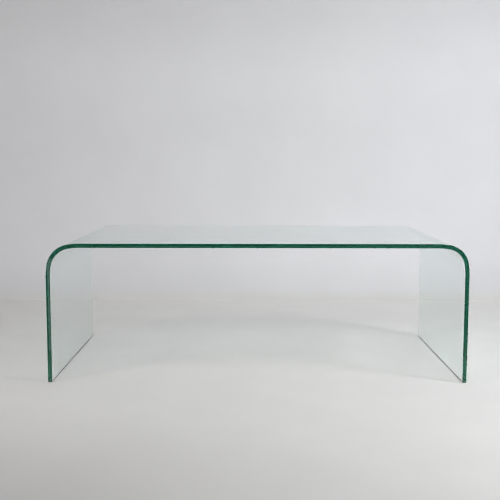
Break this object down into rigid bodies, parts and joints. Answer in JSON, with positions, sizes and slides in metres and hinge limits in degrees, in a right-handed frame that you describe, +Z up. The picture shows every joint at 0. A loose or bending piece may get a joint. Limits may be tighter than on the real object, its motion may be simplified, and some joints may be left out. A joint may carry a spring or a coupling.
{
  "type": "waterfall coffee table",
  "caption": "Low rectangular coffee table made of one clear glass sheet bent down at both ends, so that the top runs into two slab legs; polished green edge, small clear foot pads.",
  "frame": {"origin": "on the floor, midway between the outer faces of the legs and midway from front edge to back edge", "axes": "+X along the length to the right, +Y towards the back, +Z up"},
  "size_m": [1.2, 0.65, 0.4],
  "materials": {
    "clear_glass": "clear float glass with a green tint, fire-polished faces, ground and polished edges",
    "clear_rubber": "clear soft polyurethane, slightly cloudy"
  },
  "bodies": {
    "root": {"bent_glass_sheet": "clear_glass", "foot_pad_front_left": "clear_rubber", "foot_pad_front_right": "clear_rubber", "foot_pad_back_left": "clear_rubber", "foot_pad_back_right": "clear_rubber"}
  },
  "joints": []
}
